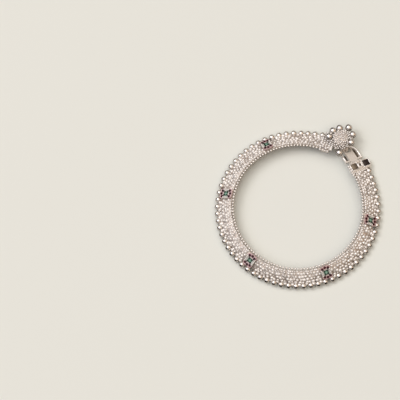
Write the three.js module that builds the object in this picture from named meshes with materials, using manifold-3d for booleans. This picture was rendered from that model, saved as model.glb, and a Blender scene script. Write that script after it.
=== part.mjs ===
// A silver payal: a woven anklet with a row of balls on its outer edge, five stone-set motifs
// and a hook clasp under a rosette of drop balls. It lies on its ball row, in millimetres, +Z up.
import * as THREE from "three";
import { mergeVertices } from "three/addons/utils/BufferGeometryUtils.js";
import Module from "manifold-3d";

// Fit
const clearance = 0.3;
const stoneClearance = 0.12;

// Band: a strip that lies like a low cone, its outer edge down
const bandRadius = 41.25;
const slopeDegrees = 31;
const bandWidth = 7.4;
const bandThickness = 1.8;
const bandShoulder = 0.5;
const bandSteps = 72;

// Near its clasp the band bows out and lies flatter, most at the clasp's middle
const bowOut = 2.4;
const bowReachDegrees = 36;
const bowSlopeDegrees = 13;

// Edges of the band
const ballRadius = 1.65;
const ballPitch = 4.3;
const ballLift = 1.1;
const ballNeckRadius = 0.5;
const ballSides = 10;
const edgeChainRadius = 0.65;
const edgeChainLift = 0.9;
const edgeChainSides = 8;

// Motifs: each one's turn about the ankle from the clasp, and the sizes they share
const motifTurnsDegrees = [64.2, 117.4, 177.8, 241.2, 298.4];
const motifLength = 7.9;
const motifWidth = 6.0;
const motifCorner = 1.7;
const motifThickness = 0.7;
const greenSize = 2.6;
const greenCutCorner = 0.55;
const greenHeight = 0.75;
const greenCrown = 0.3;
const redRadius = 0.58;
const redTableRadius = 0.34;
const redHeight = 0.8;
const redCrown = 0.3;
const redSpacing = 1.75;
const redRow = 2.45;
const redArch = 0.5;

// End caps
const claspSpan = 22.5;
const capLength = 4.2;
const capWidth = 12.6;
const capHeight = 2.9;
const capOffset = -0.9;
const capRail = 0.85;
const capBlock = 3.5;
const capRingRadius = 0.95;
const capRingWire = 0.38;

// Clasp plate and its hinge, whose middle is a little nearer the ankle than the cap's
const hingeOffset = 0.2;
const pinRadius = 0.5;
const pinLift = 1.5;
const lugRadius = 1.3;
const lugThickness = 1.4;
const knuckleLength = 4.2;
const plateWidth = 11.4;
const plateThickness = 1.1;
const plateFront = 1.15;
const plateRim = 1.0;
const eyeLength = 3.2;
const eyeWidth = 3.9;
const eyeWall = 0.7;

// Hook
const hookThickness = 0.8;
const hookWidth = 2.2;
const hookBend = 1.7;
const hookLift = 0.2;
const hookLip = 1.4;

// Rosette: its middle's place along the band from the clasp's middle, out from the band and up from it,
// and how far it leans outwards
const rosetteAlong = 5.4;
const rosetteOut = 5.2;
const rosetteLift = 5.1;
const rosetteLeanDegrees = 5;
const rosetteRadius = 4.2;
const rosetteThickness = 1.9;
const rosetteDome = 1.0;
const loopRadius = 2.0;
const loopWire = 0.4;
const loopAlongHook = -5.6;
const strutRadius = 0.45;
const dropRadius = 1.95;
const dropPegRadius = 0.45;
const dropPegDepth = 1.3;

// The drop balls round the rosette: each one's turn from straight inwards, and its reach
const drops = [
  { name: "drop_ball_1", turnDegrees: 20.5, reach: 9.1 },
  { name: "drop_ball_2", turnDegrees: 95, reach: 6.6 },
  { name: "drop_ball_3", turnDegrees: 137, reach: 7.6 },
  { name: "drop_ball_4", turnDegrees: 172, reach: 8.4 },
  { name: "drop_ball_5", turnDegrees: 211, reach: 6.5 },
  { name: "drop_ball_6", turnDegrees: 249, reach: 6.5 },
  { name: "drop_ball_7", turnDegrees: 287, reach: 6.8 },
];

// Sizes that follow from those above
const slope = THREE.MathUtils.degToRad(slopeDegrees);
const claspAngle = THREE.MathUtils.degToRad(270);
const ballOut = -(bandWidth / 2 + clearance + ballRadius);
const edgeChainIn = bandWidth / 2 + clearance + edgeChainRadius;
const bowReach = THREE.MathUtils.degToRad(bowReachDegrees);
const bowSlope = THREE.MathUtils.degToRad(bowSlopeDegrees);
const capAngle = claspSpan / 2 / bandRadius;
const pinReach = capLength / 2 + lugRadius;

const silver = { color: 0xd9d2c8, roughness: 0.25, metalness: 1 };
const oxidised = { color: 0xb4aba0, roughness: 0.4, metalness: 1 };
const green = { color: 0x1f5a42, roughness: 0.15, metalness: 0 };
const red = { color: 0x4a0f1c, roughness: 0.15, metalness: 0 };

const wasm = await Module();
wasm.setup();

// A closed three.js geometry as a manifold-3d solid
function solid(geometry) {
  const bare = geometry.clone();
  bare.deleteAttribute("normal");
  bare.deleteAttribute("uv");
  const merged = mergeVertices(bare, 1e-4);
  return new wasm.Manifold(
    new wasm.Mesh({
      numProp: 3,
      vertProperties: new Float32Array(merged.attributes.position.array),
      triVerts: new Uint32Array(merged.index.array),
    }),
  );
}

// A manifold-3d solid as a three.js geometry
function geometryOf(body) {
  const mesh = body.getMesh();
  const geometry = new THREE.BufferGeometry();
  geometry.setAttribute("position", new THREE.BufferAttribute(mesh.vertProperties, 3));
  geometry.setIndex(new THREE.BufferAttribute(mesh.triVerts, 1));
  return geometry;
}

function piece(name, geometry, finish) {
  const mesh = new THREE.Mesh(geometry, new THREE.MeshStandardMaterial(finish));
  mesh.name = name;
  return mesh;
}

// How near an angle about the ankle is to the clasp: 1 at its middle, falling smoothly to 0
function nearClasp(angle) {
  const apart = Math.acos(Math.cos(angle - claspAngle));
  return apart < bowReach ? (1 + Math.cos((Math.PI * apart) / bowReach)) / 2 : 0;
}

function slopeAt(angle) {
  return THREE.MathUtils.lerp(slope, bowSlope, nearClasp(angle));
}

// The height of the band's middle, with the ball row on the ground
function heightAt(angle) {
  const lean = slopeAt(angle);
  return ballRadius - ballOut * Math.sin(lean) - ballLift * Math.cos(lean);
}

// The line that the band's middle follows, seen from above
function linePoint(angle) {
  const radius = bandRadius + bowOut * nearClasp(angle);
  return new THREE.Vector3(radius * Math.cos(angle), radius * Math.sin(angle), 0);
}

// Axes at an angle about the ankle: x along the band, y inwards and up the lean, z out of its face
function leaningAxes(angle, lean) {
  const small = 1e-4;
  const along = linePoint(angle + small).sub(linePoint(angle - small)).normalize();
  const outward = new THREE.Vector3(along.y, -along.x, 0);
  const face = outward.clone().multiplyScalar(Math.sin(lean));
  face.z = Math.cos(lean);
  const inward = face.clone().cross(along);
  return { outward, along, inward, face };
}

// A frame at a distance out from the band's middle line and at a height
function leaningFrame(angle, lean, out, height) {
  const { outward, along, inward, face } = leaningAxes(angle, lean);
  const frame = new THREE.Group();
  frame.quaternion.setFromRotationMatrix(new THREE.Matrix4().makeBasis(along, inward, face));
  frame.position.copy(linePoint(angle)).addScaledVector(outward, out);
  frame.position.z = height;
  return frame;
}

function bandFrame(angle) {
  return leaningFrame(angle, slopeAt(angle), 0, heightAt(angle));
}

function bandPoint(angle, y, z) {
  const { inward, face } = leaningAxes(angle, slopeAt(angle));
  const point = linePoint(angle).addScaledVector(inward, y).addScaledVector(face, z);
  point.z += heightAt(angle);
  return point;
}

// A closed skin through rings of points, each ring with the same count, its two ends filled flat
function loft(rings) {
  const count = rings[0].length;
  const last = rings.length - 1;
  const positions = rings.flat().flatMap((point) => point.toArray());
  const faces = [];
  for (let step = 0; step < last; step += 1) {
    for (let side = 0; side < count; side += 1) {
      const next = (side + 1) % count;
      const [a, b] = [step * count + side, step * count + next];
      faces.push(a, b, a + count, b, b + count, a + count);
    }
  }
  for (let side = 1; side < count - 1; side += 1) {
    faces.push(0, side + 1, side);
    faces.push(last * count, last * count + side, last * count + side + 1);
  }
  const geometry = new THREE.BufferGeometry();
  geometry.setAttribute("position", new THREE.Float32BufferAttribute(positions, 3));
  geometry.setIndex(faces);
  return geometry;
}

// Angles from one cap's back face round the ankle to the other's, for a strand whose section reaches the
// given points, each a y and a z, and which stands proud along the band by the margin
function openRange(points, margin) {
  const capB = bandFrame(claspAngle + capAngle);
  const { along } = leaningAxes(claspAngle + capAngle, 0);
  const clear = capLength / 2 + clearance + margin;
  let [near, far] = [capAngle, 2 * capAngle];
  for (let halving = 0; halving < 30; halving += 1) {
    const middle = (near + far) / 2;
    const section = points.map(([y, z]) => bandPoint(claspAngle + middle, y, z));
    const nearest = Math.min(...section.map((point) => point.sub(capB.position).dot(along)));
    [near, far] = nearest < clear ? [middle, far] : [near, middle];
  }
  return { start: claspAngle + far, end: claspAngle + 2 * Math.PI - far };
}

function wovenBand() {
  const half = bandWidth / 2;
  const profile = [
    [-half, 0],
    [half, 0],
    [half, bandThickness - bandShoulder],
    [half - bandShoulder, bandThickness],
    [-half + bandShoulder, bandThickness],
    [-half, bandThickness - bandShoulder],
  ];
  const { start, end } = openRange(profile, 0);
  const rings = [];
  for (let step = 0; step <= bandSteps; step += 1) {
    const angle = THREE.MathUtils.lerp(start, end, step / bandSteps);
    rings.push(profile.map(([y, z]) => bandPoint(angle, y, z)));
  }
  return piece("woven_band", loft(rings), oxidised);
}

// A round section of a strand, square to the strand
function roundSection(angle, y, z, radius, sides) {
  return Array.from({ length: sides }, (_, side) => {
    const turn = (2 * Math.PI * side) / sides;
    return bandPoint(angle, y + radius * Math.cos(turn), z + radius * Math.sin(turn));
  });
}

function innerEdgeChain() {
  const sides = [-edgeChainRadius, edgeChainRadius].map((side) => [edgeChainIn + side, edgeChainLift]);
  const { start, end } = openRange(sides, 0);
  const rings = [];
  for (let step = 0; step <= bandSteps; step += 1) {
    const angle = THREE.MathUtils.lerp(start, end, step / bandSteps);
    rings.push(roundSection(angle, edgeChainIn, edgeChainLift, edgeChainRadius, edgeChainSides));
  }
  return piece("inner_edge_chain", loft(rings), silver);
}

// Balls joined by short necks: each ball is five rings, the outer two on its necks
function edgeBallRow() {
  const radius = bandRadius - ballOut * Math.cos(slope) + ballLift * Math.sin(slope);
  const { start, end } = openRange([[ballOut, ballLift]], ballRadius);
  const gaps = Math.round(((end - start) * radius) / ballPitch);
  const neck = Math.acos(ballNeckRadius / ballRadius);
  const latitudes = [-neck, -neck / 2, 0, neck / 2, neck];
  const rings = [];
  for (let ball = 0; ball <= gaps; ball += 1) {
    const middle = THREE.MathUtils.lerp(start, end, ball / gaps);
    for (const latitude of latitudes) {
      const angle = middle + (ballRadius * Math.sin(latitude)) / radius;
      const wide = ballRadius * Math.cos(latitude);
      rings.push(roundSection(angle, ballOut, ballLift, wide, ballSides));
    }
  }
  return piece("edge_ball_row", loft(rings), silver);
}

function roundedRectangle(width, height, corner) {
  const [x, y] = [width / 2, height / 2];
  const shape = new THREE.Shape();
  shape.moveTo(-x + corner, -y);
  shape.lineTo(x - corner, -y);
  shape.absarc(x - corner, -y + corner, corner, -Math.PI / 2, 0);
  shape.lineTo(x, y - corner);
  shape.absarc(x - corner, y - corner, corner, 0, Math.PI / 2);
  shape.lineTo(-x + corner, y);
  shape.absarc(-x + corner, y - corner, corner, Math.PI / 2, Math.PI);
  shape.lineTo(-x, -y + corner);
  shape.absarc(-x + corner, -y + corner, corner, Math.PI, 1.5 * Math.PI);
  return shape;
}

// A square with its corners cut off
function cutSquare(size, cut) {
  const half = size / 2;
  const inner = half - cut;
  return [
    [inner, -half],
    [half, -inner],
    [half, inner],
    [inner, half],
    [-inner, half],
    [-half, inner],
    [-half, -inner],
    [-inner, -half],
  ].map(([x, y]) => new THREE.Vector2(x, y));
}

function polygon(x, y, radius, sides) {
  return Array.from({ length: sides }, (_, side) => {
    const turn = (2 * Math.PI * side) / sides;
    return new THREE.Vector2(x + radius * Math.cos(turn), y + radius * Math.sin(turn));
  });
}

// Three red stones above the green one and three below it, each row arched outwards
function redSeats() {
  const seats = [];
  for (const end of [1, -1]) {
    for (const side of [-1, 0, 1]) {
      const rise = side === 0 ? redArch : 0;
      seats.push({ x: side * redSpacing, y: end * (redRow + rise) });
    }
  }
  return seats;
}

function motifPlate(name) {
  const outline = roundedRectangle(motifWidth, motifLength, motifCorner);
  const grown = 2 * stoneClearance;
  outline.holes.push(new THREE.Path(cutSquare(greenSize + grown, greenCutCorner)));
  for (const { x, y } of redSeats()) {
    outline.holes.push(new THREE.Path(polygon(x, y, redRadius + stoneClearance, 8)));
  }
  const geometry = new THREE.ExtrudeGeometry(outline, {
    depth: motifThickness,
    bevelEnabled: false,
    curveSegments: 4,
  });
  return piece(name, geometry, silver);
}

// A cut-corner stone with a table and eight crown facets
function greenStone(name) {
  const shape = new THREE.Shape(cutSquare(greenSize - 2 * greenCrown, greenCutCorner - greenCrown / 2));
  const geometry = new THREE.ExtrudeGeometry(shape, {
    depth: greenHeight - 2 * greenCrown,
    bevelEnabled: true,
    bevelThickness: greenCrown,
    bevelSize: greenCrown,
    bevelSegments: 1,
  });
  geometry.translate(0, 0, greenCrown);
  return piece(name, geometry, green);
}

// A round stone with a table and eight crown facets
function redStone(name) {
  const profile = [
    [0, 0],
    [redRadius, 0],
    [redRadius, redHeight - redCrown],
    [redTableRadius, redHeight],
    [0, redHeight],
  ].map(([x, y]) => new THREE.Vector2(x, y));
  const geometry = new THREE.LatheGeometry(profile, 8, Math.PI / 2).rotateX(Math.PI / 2);
  return piece(name, geometry, red);
}

function motif(number, angle) {
  const frame = bandFrame(angle);
  const plate = motifPlate(`motif_plate_${number}`);
  plate.position.z = bandThickness + clearance;
  const centre = greenStone(`motif_green_${number}`);
  centre.position.z = plate.position.z;
  frame.add(plate, centre);
  redSeats().forEach(({ x, y }, index) => {
    const stone = redStone(`motif_red_${number}_${index + 1}`);
    stone.position.set(x, y, plate.position.z);
    frame.add(stone);
  });
  return frame;
}

// The box that closes an end of the band: two open windows and a block with a small ring between them
function capBody() {
  const outline = new THREE.Shape(
    [
      [-capLength / 2, -capWidth / 2],
      [capLength / 2, -capWidth / 2],
      [capLength / 2, capWidth / 2],
      [-capLength / 2, capWidth / 2],
    ].map(([x, y]) => new THREE.Vector2(x, y)),
  );
  const x = capLength / 2 - capRail;
  for (const side of [-1, 1]) {
    const near = (side * capBlock) / 2;
    const far = side * (capWidth / 2 - capRail);
    outline.holes.push(
      new THREE.Path([
        new THREE.Vector2(-x, near),
        new THREE.Vector2(x, near),
        new THREE.Vector2(x, far),
        new THREE.Vector2(-x, far),
      ]),
    );
  }
  const box = new THREE.ExtrudeGeometry(outline, { depth: capHeight, bevelEnabled: false });
  const ring = new THREE.TorusGeometry(capRingRadius, capRingWire, 6, 16);
  ring.translate(0, 0, capHeight);
  return solid(box).add(solid(ring));
}

// A bar round in side view, with a bore, extruded across the band
function lug(reach, radius, bore, thickness, y) {
  const side = new THREE.Shape();
  side.moveTo(0, -radius);
  side.lineTo(reach, -radius);
  side.absarc(reach, 0, radius, -Math.PI / 2, Math.PI / 2);
  side.lineTo(0, radius);
  side.holes.push(new THREE.Path(polygon(reach, 0, bore, 12)));
  const geometry = new THREE.ExtrudeGeometry(side, {
    depth: thickness,
    bevelEnabled: false,
    curveSegments: 8,
  });
  return geometry.translate(0, 0, -thickness / 2).rotateX(Math.PI / 2).translate(0, y, 0);
}

function endCapA() {
  let body = capBody();
  const start = capLength / 2 - capRail / 2;
  const y = knuckleLength / 2 + clearance + lugThickness / 2;
  for (const side of [-1, 1]) {
    const middle = hingeOffset - capOffset + side * y;
    const ear = lug(pinReach - start, lugRadius, pinRadius + clearance, lugThickness, middle);
    body = body.add(solid(ear.translate(start, 0, pinLift)));
  }
  return piece("end_cap_a", geometryOf(body), silver);
}

function hingePin() {
  const length = knuckleLength + 2 * (clearance + lugThickness + clearance);
  return piece("hinge_pin", new THREE.CylinderGeometry(pinRadius, pinRadius, length, 12), silver);
}

// Where the hinge's and the hook's centre lines meet, measured from either cap
function meetingReach() {
  const across = leaningAxes(claspAngle, 0).along;
  const { along } = leaningAxes(claspAngle + capAngle, 0);
  return bandPoint(claspAngle + capAngle, hingeOffset, hookLift).dot(across) / along.dot(across);
}

// How far the clasp plate tips down about its pin, so that its eye is level with the hook
function plateTip() {
  return Math.atan((pinLift - hookLift) / (meetingReach() - pinReach));
}

// A sheet with two straight sides and a round front, centred on its own thickness
function roundFronted(back, archCentre, half, thickness) {
  const outline = new THREE.Shape();
  outline.moveTo(back, -half);
  outline.lineTo(archCentre, -half);
  outline.absarc(archCentre, 0, half, -Math.PI / 2, Math.PI / 2);
  outline.lineTo(back, half);
  const sheet = new THREE.ExtrudeGeometry(outline, {
    depth: thickness,
    bevelEnabled: false,
    curveSegments: 18,
  });
  return solid(sheet.translate(0, 0, -thickness / 2));
}

function block(fromX, toX, width, thickness) {
  const box = new THREE.BoxGeometry(toX - fromX, width, thickness);
  return solid(box.translate((fromX + toX) / 2, 0, 0));
}

// A D-shaped plate that turns on the hinge pin: a rim, a tongue with an eye for the hook, and a slot on
// each side of the tongue. Its origin is the pin's axis.
function claspPlate() {
  const eye = (meetingReach() - pinReach) / Math.cos(plateTip());
  const half = plateWidth / 2;
  const back = lugRadius + clearance;
  const archCentre = eye + eyeLength / 2 + plateFront - half;
  const deep = 2 * plateThickness;
  const tongue = block(0, archCentre + half, eyeWidth + 2 * eyeWall, deep);
  const slots = roundFronted(back + plateRim, archCentre, half - plateRim, deep).subtract(tongue);
  const knuckle = new THREE.CylinderGeometry(lugRadius, lugRadius, knuckleLength, 16);
  const bore = pinRadius + clearance;
  const hole = new THREE.CylinderGeometry(bore, bore, 2 * knuckleLength, 12);
  const body = roundFronted(back, archCentre, half, plateThickness)
    .add(block(0, back + plateRim / 2, knuckleLength, plateThickness))
    .add(solid(knuckle))
    .subtract(slots)
    .subtract(block(eye - eyeLength / 2, eye + eyeLength / 2, eyeWidth, deep))
    .subtract(solid(hole));
  return piece("clasp_plate", geometryOf(body), silver);
}

// A ribbon seen from the side: out from the cap over the plate, round through its eye and back below
function hook() {
  const reach = meetingReach();
  const centre = -reach + hookBend;
  const [outer, inner] = [hookBend + hookThickness / 2, hookBend - hookThickness / 2];
  const root = -capLength / 2 + capRail / 2;
  const side = new THREE.Shape();
  side.moveTo(root, outer);
  side.lineTo(centre, outer);
  side.absarc(centre, 0, outer, Math.PI / 2, 1.5 * Math.PI);
  side.lineTo(centre + hookLip, -outer);
  side.lineTo(centre + hookLip, -inner);
  side.absarc(centre, 0, inner, 1.5 * Math.PI, Math.PI / 2, true);
  side.lineTo(root, inner);
  const geometry = new THREE.ExtrudeGeometry(side, {
    depth: hookWidth,
    bevelEnabled: false,
    curveSegments: 12,
  });
  geometry.translate(0, 0, -hookWidth / 2).rotateX(Math.PI / 2);
  return geometry.translate(0, hingeOffset - capOffset, hookLift);
}

function endCapB() {
  return piece("end_cap_b", geometryOf(capBody().add(solid(hook()))), silver);
}

// A domed disc with a socket for each drop ball's peg, and a strut down to a loop round the hook.
// The loop's centre is given in the disc's own axes.
function rosetteDisc(loopCentre) {
  const half = rosetteThickness / 2;
  const profile = [
    [0, -half],
    [rosetteRadius, -half],
    [rosetteRadius, half],
    [rosetteRadius * 0.75, half + rosetteDome * 0.6],
    [rosetteRadius * 0.4, half + rosetteDome * 0.95],
    [0, half + rosetteDome],
  ].map(([x, y]) => new THREE.Vector2(x, y));
  const loop = new THREE.TorusGeometry(loopRadius, loopWire, 6, 20).rotateY(Math.PI / 2);
  loop.translate(loopCentre.x, loopCentre.y, loopCentre.z);
  const root = new THREE.Vector3(0, rosetteRadius / 2, 0);
  const rod = loopCentre.clone().sub(root);
  const length = rod.length() - loopRadius;
  const strut = new THREE.CylinderGeometry(strutRadius, strutRadius, length, 8);
  strut.translate(0, length / 2, 0);
  strut.applyQuaternion(
    new THREE.Quaternion().setFromUnitVectors(new THREE.Vector3(0, 1, 0), rod.normalize()),
  );
  strut.translate(root.x, root.y, root.z);
  const disc = new THREE.LatheGeometry(profile, 24).rotateX(Math.PI / 2);
  let body = solid(disc).add(solid(loop)).add(solid(strut));
  const socketRadius = dropPegRadius + stoneClearance;
  const socketDepth = dropPegDepth + clearance;
  for (const { turnDegrees } of drops) {
    const socket = new THREE.CylinderGeometry(socketRadius, socketRadius, 2 * socketDepth, 8);
    socket.translate(0, rosetteRadius, 0).rotateZ(THREE.MathUtils.degToRad(turnDegrees));
    body = body.subtract(solid(socket));
  }
  return piece("rosette", geometryOf(body), silver);
}

// A ball on a peg, its origin at the ball's centre and its peg along -y
function dropBall(name, reach) {
  const neck = Math.asin(dropPegRadius / dropRadius);
  const tip = reach - rosetteRadius + dropPegDepth;
  const profile = [
    [0, -tip],
    [dropPegRadius, -tip],
  ];
  const rings = 6;
  for (let ring = 0; ring < rings; ring += 1) {
    const turn = THREE.MathUtils.lerp(neck, Math.PI, ring / rings);
    profile.push([dropRadius * Math.sin(turn), -dropRadius * Math.cos(turn)]);
  }
  profile.push([0, dropRadius]);
  const points = profile.map(([x, y]) => new THREE.Vector2(x, y));
  return piece(name, new THREE.LatheGeometry(points, 12), silver);
}

// The rosette with its drop balls, hung by its loop on the hook of the given cap
function rosette(hookFrame) {
  const angle = claspAngle + rosetteAlong / bandRadius;
  const lean = THREE.MathUtils.degToRad(rosetteLeanDegrees);
  const head = leaningFrame(angle, lean, rosetteOut, heightAt(angle) + rosetteLift);
  head.updateMatrixWorld(true);
  hookFrame.updateMatrixWorld(true);
  const loopCentre = new THREE.Vector3(loopAlongHook, hingeOffset, hookLift + hookBend);
  head.add(rosetteDisc(head.worldToLocal(hookFrame.localToWorld(loopCentre))));
  for (const { name, turnDegrees, reach } of drops) {
    const arm = new THREE.Group();
    arm.rotation.z = THREE.MathUtils.degToRad(turnDegrees);
    const ball = dropBall(name, reach);
    ball.position.y = reach;
    arm.add(ball);
    head.add(arm);
  }
  return head;
}

function clasp() {
  const group = new THREE.Group();
  const frameA = bandFrame(claspAngle - capAngle);
  const plate = claspPlate();
  const pin = hingePin();
  plate.position.set(pinReach, hingeOffset, pinLift);
  plate.rotation.y = plateTip();
  pin.position.copy(plate.position);
  const capA = endCapA();
  capA.position.y = capOffset;
  frameA.add(capA, pin, plate);
  const frameB = bandFrame(claspAngle + capAngle);
  const capB = endCapB();
  capB.position.y = capOffset;
  frameB.add(capB);
  group.add(frameA, frameB, rosette(frameB));
  return group;
}

const anklet = new THREE.Group();
anklet.add(wovenBand(), innerEdgeChain(), edgeBallRow());
motifTurnsDegrees.forEach((turn, index) => {
  anklet.add(motif(index + 1, claspAngle + THREE.MathUtils.degToRad(turn)));
});
anklet.add(clasp());

// The origin is the middle of the anklet's box, on the surface that it lies on
anklet.updateMatrixWorld(true);
const box = new THREE.Box3().setFromObject(anklet, true);
const centre = box.getCenter(new THREE.Vector3());
anklet.position.set(-centre.x, -centre.y, -box.min.z);

export default anklet;
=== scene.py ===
# %% [markdown]
# A silver payal, fastened and lying on a pale table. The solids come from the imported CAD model, and this
# script dresses them: it adds the granules, rings and beads that are too fine for the solids, gives each
# surface its finish, and sets the table, the light and the camera. All lengths are in millimetres until
# the last moment, because jewellery is easier to think about that way.

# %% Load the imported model
import math
import random

import bpy
import numpy as np
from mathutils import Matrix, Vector


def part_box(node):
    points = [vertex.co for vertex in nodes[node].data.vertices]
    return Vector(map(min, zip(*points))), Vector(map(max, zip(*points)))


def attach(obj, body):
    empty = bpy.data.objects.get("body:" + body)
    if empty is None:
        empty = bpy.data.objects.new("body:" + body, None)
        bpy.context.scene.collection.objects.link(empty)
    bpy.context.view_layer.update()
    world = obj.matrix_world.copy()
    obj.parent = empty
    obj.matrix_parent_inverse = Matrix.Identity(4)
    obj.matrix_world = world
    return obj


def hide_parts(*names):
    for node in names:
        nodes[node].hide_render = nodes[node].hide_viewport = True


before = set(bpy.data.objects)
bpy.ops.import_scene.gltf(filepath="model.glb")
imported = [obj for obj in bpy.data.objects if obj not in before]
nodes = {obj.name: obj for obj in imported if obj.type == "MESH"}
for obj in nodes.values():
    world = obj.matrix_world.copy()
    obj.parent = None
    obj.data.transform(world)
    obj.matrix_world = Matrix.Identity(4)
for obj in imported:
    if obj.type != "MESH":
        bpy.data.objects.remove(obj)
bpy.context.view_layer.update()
MM = 0.001
SEED = 7
rng = random.Random(SEED)

# %% [markdown]
# The band lies like a low cone, its outer edge down on the table. Near its clasp it bows out a little and
# lies flatter, because the clasp is stiff and straight. Every piece on it is easiest to place in the band's
# own directions: an angle round the ankle, a distance y up the slope towards the ankle, and a height z out
# of the band's face. These sizes repeat the CAD's, and the band's place is read from the model.

# %% Where the band is
BAND_RADIUS = 41.25
BAND_WIDTH = 7.4
BAND_THICKNESS = 1.8
BALL_RADIUS = 1.65
BALL_Y = -(BAND_WIDTH / 2 + 0.3 + BALL_RADIUS)
BALL_LIFT = 1.1
CLASP_ANGLE = math.radians(270)
CAP_ANGLE = 22.5 / 2 / BAND_RADIUS
CAP_LENGTH = 4.2
SLOPE = math.radians(31)
BOW_OUT = 2.4
BOW_REACH = math.radians(36)
BOW_SLOPE = math.radians(13)
TINY_ANGLE = 1e-4
CAMERA_AZIMUTH = 218.9
CAMERA_ELEVATION = 72

low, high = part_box("woven_band")
ring_x = (high.x + low.x) / 2 / MM
ring_y = (high.y - (high.x - low.x) / 2) / MM
print(f"the ring's centre is at {ring_x:.2f}, {ring_y:.2f} mm")


def near_clasp(angle):
    """1 at the clasp's middle, falling smoothly to 0 where the bow ends."""
    apart = np.arccos(np.clip(np.cos(angle - CLASP_ANGLE), -1, 1))
    return np.where(apart < BOW_REACH, (1 + np.cos(np.pi * apart / BOW_REACH)) / 2, 0)


def slope_at(angle):
    return SLOPE + (BOW_SLOPE - SLOPE) * near_clasp(angle)


def line_points(angle):
    """The band's middle line, seen from above."""
    radius = BAND_RADIUS + BOW_OUT * near_clasp(angle)
    return np.stack([ring_x + radius * np.cos(angle), ring_y + radius * np.sin(angle), 0 * angle], 1)


def band_height(angle):
    """The height of the band's middle line above the table."""
    lean = slope_at(angle)
    return BALL_RADIUS - BALL_Y * np.sin(lean) - BALL_LIFT * np.cos(lean)


def leaning_axes(angle, lean):
    """Columns: along the band, inwards and up the slope, and out of the face, for each angle."""
    angle = np.atleast_1d(angle)
    lean = np.broadcast_to(lean, angle.shape)[:, None]
    along = line_points(angle + TINY_ANGLE) - line_points(angle - TINY_ANGLE)
    along = along / np.linalg.norm(along, axis=1)[:, None]
    outward = np.stack([along[:, 1], -along[:, 0], 0 * angle], 1)
    upward = np.array([0, 0, 1.0])
    face = outward * np.sin(lean) + upward * np.cos(lean)
    return np.stack([along, np.cross(face, along), face], 2)


def band_axes(angle):
    return leaning_axes(angle, slope_at(np.atleast_1d(angle)))


def on_band(angle, y, z):
    """Points in mm at an angle round the ankle, y up the slope and z out of the face."""
    angle = np.atleast_1d(angle)
    axes = band_axes(angle)
    points = line_points(angle)
    points[:, 2] = band_height(angle)
    y = np.broadcast_to(y, angle.shape)[:, None]
    z = np.broadcast_to(z, angle.shape)[:, None]
    return points + axes[:, :, 1] * y + axes[:, :, 2] * z


def open_range(y, z, margin):
    """First and last angle between the two end caps for something at y and z that reaches the margin."""
    cap = on_band(CLASP_ANGLE + CAP_ANGLE, 0, 0)[0]
    along = band_axes(CLASP_ANGLE + CAP_ANGLE)[0, :, 0]
    near, far = CAP_ANGLE, 2 * CAP_ANGLE
    for _ in range(30):
        middle = (near + far) / 2
        distance = (on_band(CLASP_ANGLE + middle, y, z)[0] - cap) @ along
        if distance < CAP_LENGTH / 2 + margin:
            near = middle
        else:
            far = middle
    return CLASP_ANGLE + far, CLASP_ANGLE + 2 * math.pi - far


# %% [markdown]
# Hundreds of granules share a few shapes. Copying one small shape's points many times with numpy is much
# faster than making hundreds of Blender objects, and it gives one mesh for each kind of piece. A number
# is kept with each point that says how much the materials darken the silver there. Mostly it is painted
# shade, which grows with how deep the point sits, and on the balls a painted dark reflection; on the dull
# granules and the backing it adds real tarnish.

# %% Shapes that are copied
def ball_shape(sides=14, rings=8, lowest=-1.0):
    """A unit ball, or the part of it above a height, as points and faces."""
    start = math.asin(max(-1.0, lowest))
    whole = lowest <= -1.0
    points, faces = [], []
    for ring in range(1 if whole else 0, rings):
        turn = start + (math.pi / 2 - start) * ring / rings
        for side in range(sides):
            a = 2 * math.pi * (side + 0.5 * (ring % 2)) / sides
            points.append((math.cos(turn) * math.cos(a), math.cos(turn) * math.sin(a), math.sin(turn)))
    last = len(points) - sides
    top = len(points)
    points.append((0, 0, 1))
    for first in range(0, last, sides):
        for side in range(sides):
            a, b = first + side, first + (side + 1) % sides
            faces.append((a, b, b + sides, a + sides))
    for side in range(sides):
        faces.append((last + side, last + (side + 1) % sides, top))
    if whole:
        points.append((0, 0, -1))
        faces.extend(((side + 1) % sides, side, top + 1) for side in range(sides))
    else:
        faces.append(tuple(reversed(range(sides))))
    return np.array(points, float), faces


def ring_shape(thickness, sides=14, section=6):
    """A ring of radius 1 and the given wire radius, as points and faces."""
    points, faces = [], []
    for side in range(sides):
        a = 2 * math.pi * side / sides
        for step in range(section):
            b = 2 * math.pi * step / section
            out = 1 + thickness * math.cos(b)
            points.append((out * math.cos(a), out * math.sin(a), thickness * math.sin(b)))
    for side in range(sides):
        for step in range(section):
            a = side * section + step
            b = side * section + (step + 1) % section
            c = ((side + 1) % sides) * section + (step + 1) % section
            d = ((side + 1) % sides) * section + step
            faces.append((a, d, c, b))
    return np.array(points), faces


def copies(shape, centres, axes, sizes, depth=None):
    """One set of points and faces from many copies of a shape, and each point's darkening number."""
    base, faces = shape
    sizes = np.asarray(sizes, float)
    if sizes.ndim == 1:
        sizes = sizes[:, None]
    sizes = np.broadcast_to(sizes, (len(centres), 3))
    local = base[None, :, :] * sizes[:, None, :]
    points = np.einsum("kij,knj->kni", axes, local) + centres[:, None, :]
    # Unless given, the darkening is painted shade that grows towards the shape's low side.
    if depth is None:
        depth = 0.5 - 0.5 * base[:, 2]
    tarnish = np.broadcast_to(depth, (len(centres), len(base))).ravel()
    count = len(base)
    moved = [tuple(i + k * count for i in face) for k in range(len(centres)) for face in faces]
    return points.reshape(-1, 3), moved, tarnish


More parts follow.
